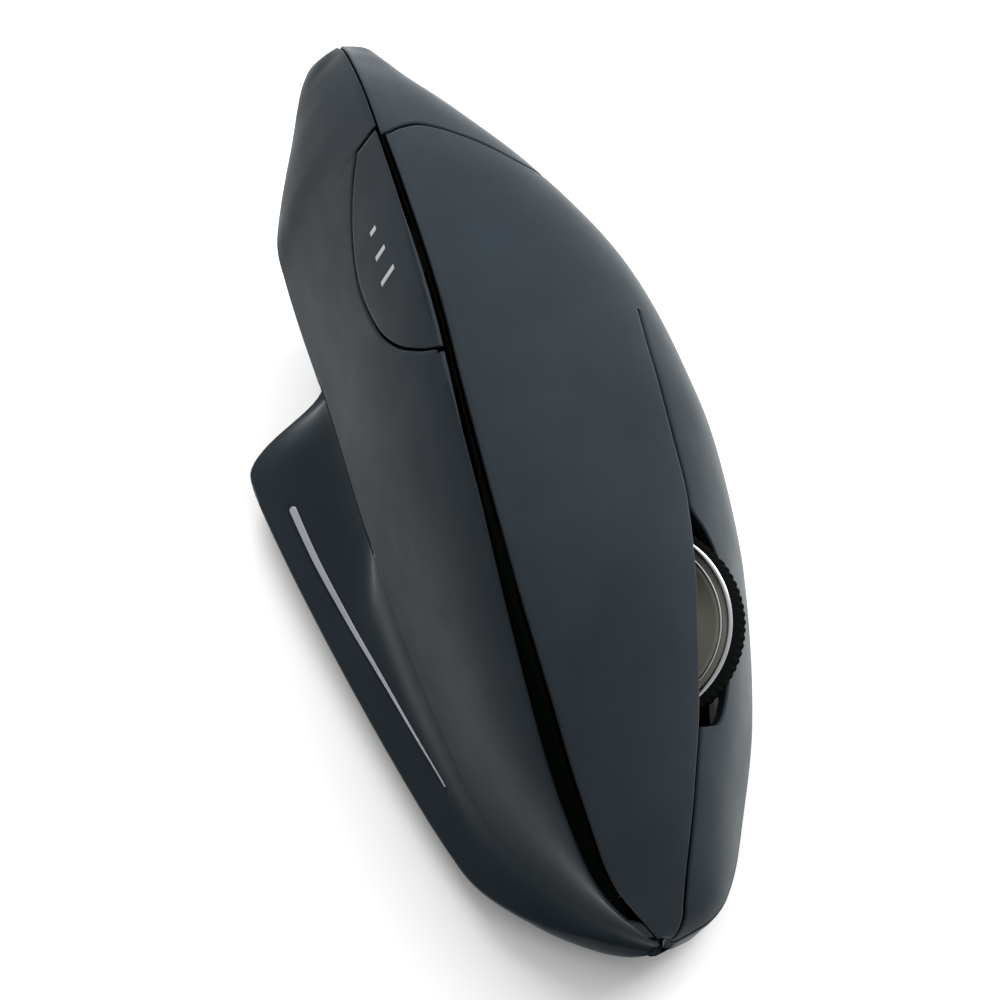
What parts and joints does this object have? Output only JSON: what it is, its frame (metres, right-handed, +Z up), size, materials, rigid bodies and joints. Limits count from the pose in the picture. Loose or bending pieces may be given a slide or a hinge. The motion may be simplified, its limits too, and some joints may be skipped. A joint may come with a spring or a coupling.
{
  "type": "vertical ergonomic mouse",
  "caption": "Vertical ergonomic mouse for the left hand: ridged body with thumb scoop and flange, sprung keys, a scroll wheel that rocks and turns, a tab button and a base with door and slider.",
  "frame": {"origin": "on the desk under the middle of the bounding box", "axes": "+Y from the rear tip to the nose, +Z up, +X to the thumb side"},
  "size_m": [0.0526, 0.1104, 0.0581],
  "materials": {
    "shell": "soft-touch matte",
    "trim": "glossy black",
    "silver": "satin silver",
    "base": "fine texture",
    "glide": "smooth, waxy",
    "steel": "satin",
    "frame": "moulded",
    "board": "solder mask",
    "switch": "moulded",
    "plunger": "smooth",
    "hub": "satin brown-grey",
    "rim": "polished",
    "tyre": "matte",
    "lens": "clear",
    "cell": "printed sleeve"
  },
  "bodies": {
    "housing": {"thumb_cover": "shell", "rear_cover": "shell", "finger_panel": "shell", "ridge_trim": "trim", "accent_inlay": "silver", "lower_skirt": "shell", "base_plate": "base", "glide_feet": "glide", "case_screws": "steel", "chassis": "frame", "key_board": "board", "primary_switch": "switch", "secondary_switch": "switch", "middle_switch": "switch", "dpi_bracket": "frame", "dpi_board": "board", "dpi_switch": "switch", "rocker_pin": "steel", "main_board": "board", "sensor_chip": "switch", "sensor_lens": "lens", "battery_bay": "base", "battery_cell": "cell", "battery_contacts": "steel", "power_switch": "switch"},
    "primary_key": {"primary_button": "shell"},
    "secondary_key": {"secondary_button": "shell"},
    "dpi_key": {"dpi_button": "shell"},
    "rocker": {"wheel_rocker": "frame", "encoder": "switch"},
    "wheel": {"wheel_axle": "steel", "wheel_hub": "hub", "wheel_rims": "rim", "wheel_tyre": "tyre"},
    "slider": {"power_slider": "plunger"},
    "door": {"battery_door": "base"},
    "primary_pin": {"primary_plunger": "plunger"},
    "secondary_pin": {"secondary_plunger": "plunger"},
    "middle_pin": {"middle_plunger": "plunger"},
    "dpi_pin": {"dpi_plunger": "plunger"}
  },
  "joints": [
    {"name": "primary_press", "type": "hinge", "parent": "housing", "child": "primary_key", "pos_m": [-0.00718, -0.00911, 0.0503], "axis": [-0.9, 0, -0.436], "range_deg": [0, 0.4], "stiffness_Nm_per_rad": 3},
    {"name": "secondary_press", "type": "hinge", "parent": "housing", "child": "secondary_key", "pos_m": [-0.02207, -0.00911, 0.0317], "axis": [-0.4896, -0.2448, -0.8369], "range_deg": [0, 0.4], "stiffness_Nm_per_rad": 3},
    {"name": "dpi_press", "type": "hinge", "parent": "housing", "child": "dpi_key", "pos_m": [0.0053, -0.02004, 0.05553], "axis": [0.061, 0.997, 0.0483], "range_deg": [0, 2.5], "stiffness_Nm_per_rad": 0.3},
    {"name": "wheel_press", "type": "hinge", "parent": "housing", "child": "rocker", "pos_m": [-0.01125, 0.00502, 0.03484], "axis": [-0.2951, -0.2855, -0.9118], "range_deg": [0, 1.5], "stiffness_Nm_per_rad": 1.2},
    {"name": "wheel_spin", "type": "hinge", "parent": "rocker", "child": "wheel", "pos_m": [-0.00849, 0.02278, 0.02839], "axis": [0.2951, 0.2855, 0.9118], "continuous": true},
    {"name": "power_slide", "type": "slide", "parent": "housing", "child": "slider", "axis": [0, 1, 0], "range_m": [0, 0.003]},
    {"name": "door_hinge", "type": "hinge", "parent": "housing", "child": "door", "pos_m": [0.001, 0.01665, 0.0006], "axis": [1, 0, 0], "range_deg": [0, 50]},
    {"name": "primary_plunge", "type": "slide", "parent": "housing", "child": "primary_pin", "axis": [0.8425, -0.3799, -0.3818], "range_m": [0, 0.00028]},
    {"name": "secondary_plunge", "type": "slide", "parent": "housing", "child": "secondary_pin", "axis": [0.8425, -0.3799, -0.3818], "range_m": [0, 0.00032]},
    {"name": "middle_plunge", "type": "slide", "parent": "housing", "child": "middle_pin", "axis": [0.8425, -0.3799, -0.3818], "range_m": [0, 0.0003]},
    {"name": "dpi_plunge", "type": "slide", "parent": "housing", "child": "dpi_pin", "axis": [-0.8948, 0.0918, -0.437], "range_m": [0, 0.00027]}
  ],
  "couplings": [
    {"joint": "primary_plunge", "follows": "primary_press", "m_per_rad": 0.03237},
    {"joint": "secondary_plunge", "follows": "secondary_press", "m_per_rad": 0.03724},
    {"joint": "middle_plunge", "follows": "wheel_press", "m_per_rad": 0.00929},
    {"joint": "dpi_plunge", "follows": "dpi_press", "m_per_rad": 0.00503}
  ]
}
